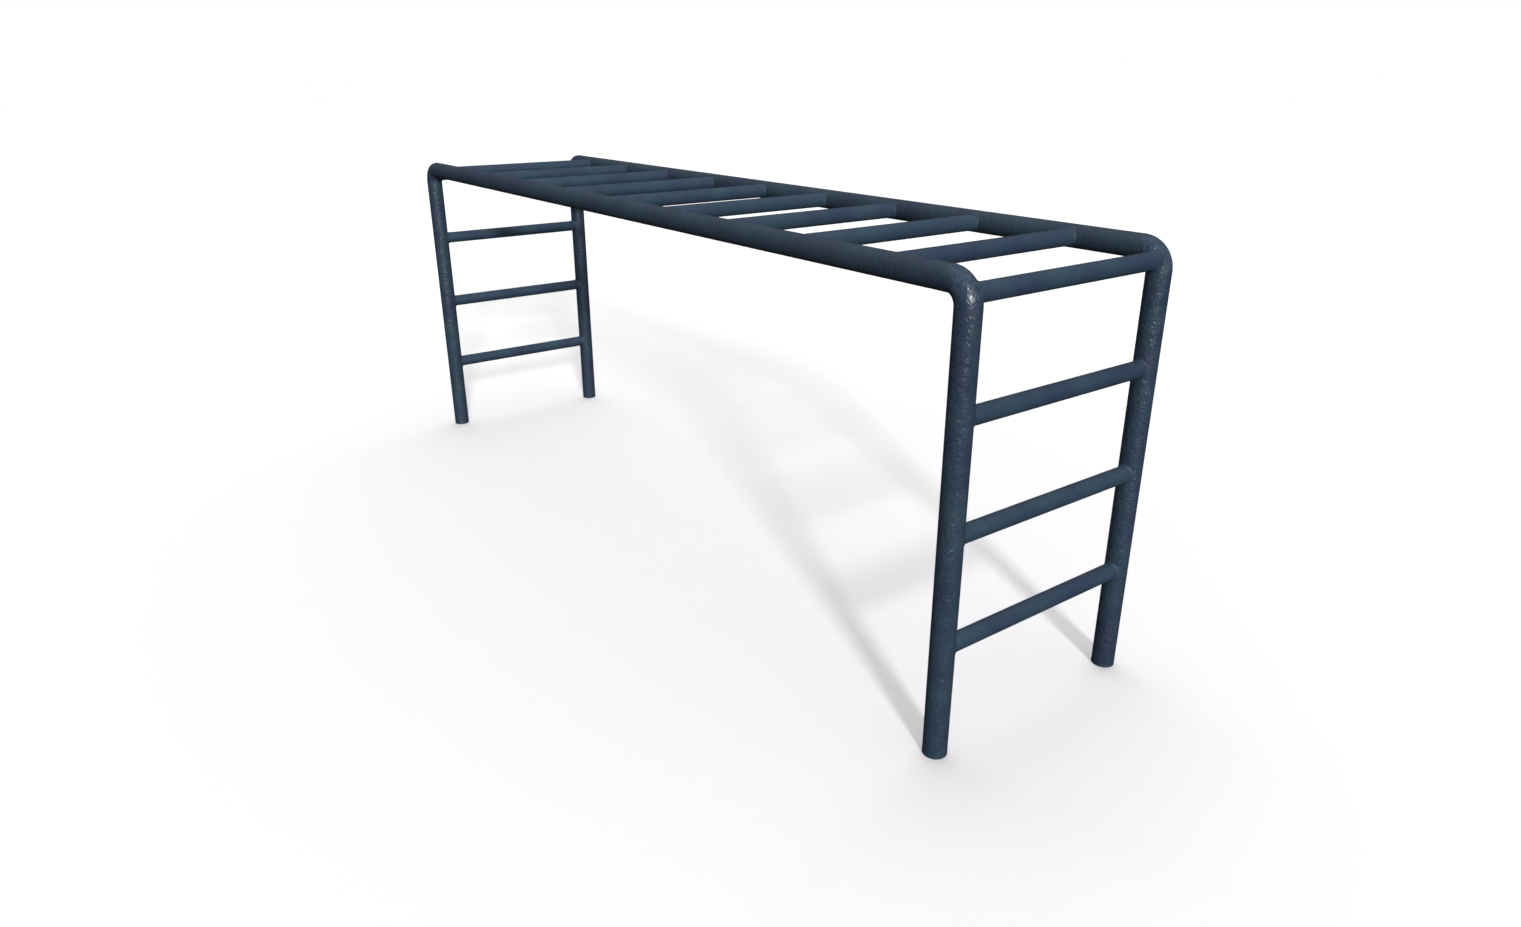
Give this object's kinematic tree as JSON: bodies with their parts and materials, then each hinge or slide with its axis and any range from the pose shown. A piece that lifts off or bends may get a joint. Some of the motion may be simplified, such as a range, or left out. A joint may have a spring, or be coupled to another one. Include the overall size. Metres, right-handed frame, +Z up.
{
  "type": "monkey bars",
  "caption": "Free-standing tubular steel climbing frame: an overhead ladder of round rungs between two side rails that turn down into legs, with a ladder at each end.",
  "frame": {"origin": "on the ground, at the centre of the footprint of the four legs", "axes": "+X along the overhead ladder towards its right end, +Y across it from the front rail to the rear rail, +Z up"},
  "size_m": [3.738, 0.874, 1.4119],
  "materials": {
    "blue_enamel": "dark slate-blue hammered enamel, satin, with squiggly ridges on the legs and elbows and smoother on the rungs",
    "weld_enamel": "the same enamel over weld beads",
    "bare_steel": "unpainted mild steel tube, sealed inside the joints"
  },
  "bodies": {
    "root": {"front_top_rail": "blue_enamel", "rear_top_rail": "blue_enamel", "front_left_leg": "blue_enamel", "front_left_elbow": "blue_enamel", "front_left_foot_cap": "blue_enamel", "front_right_leg": "blue_enamel", "front_right_elbow": "blue_enamel", "front_right_foot_cap": "blue_enamel", "rear_left_leg": "blue_enamel", "rear_left_elbow": "blue_enamel", "rear_left_foot_cap": "blue_enamel", "rear_right_leg": "blue_enamel", "rear_right_elbow": "blue_enamel", "rear_right_foot_cap": "blue_enamel", "top_rung_1": "blue_enamel", "top_rung_2": "blue_enamel", "top_rung_3": "blue_enamel", "top_rung_4": "blue_enamel", "top_rung_5": "blue_enamel", "top_rung_6": "blue_enamel", "top_rung_7": "blue_enamel", "top_rung_8": "blue_enamel", "top_rung_9": "blue_enamel", "left_corner_rung": "blue_enamel", "left_end_rung_1": "blue_enamel", "left_end_rung_2": "blue_enamel", "left_end_rung_3": "blue_enamel", "right_corner_rung": "blue_enamel", "right_end_rung_1": "blue_enamel", "right_end_rung_2": "blue_enamel", "right_end_rung_3": "blue_enamel", "top_rung_welds": "weld_enamel", "end_rung_welds": "weld_enamel", "corner_rung_welds": "weld_enamel", "elbow_butt_welds": "weld_enamel", "foot_cap_welds": "weld_enamel", "joint_sleeves": "bare_steel"}
  },
  "joints": []
}
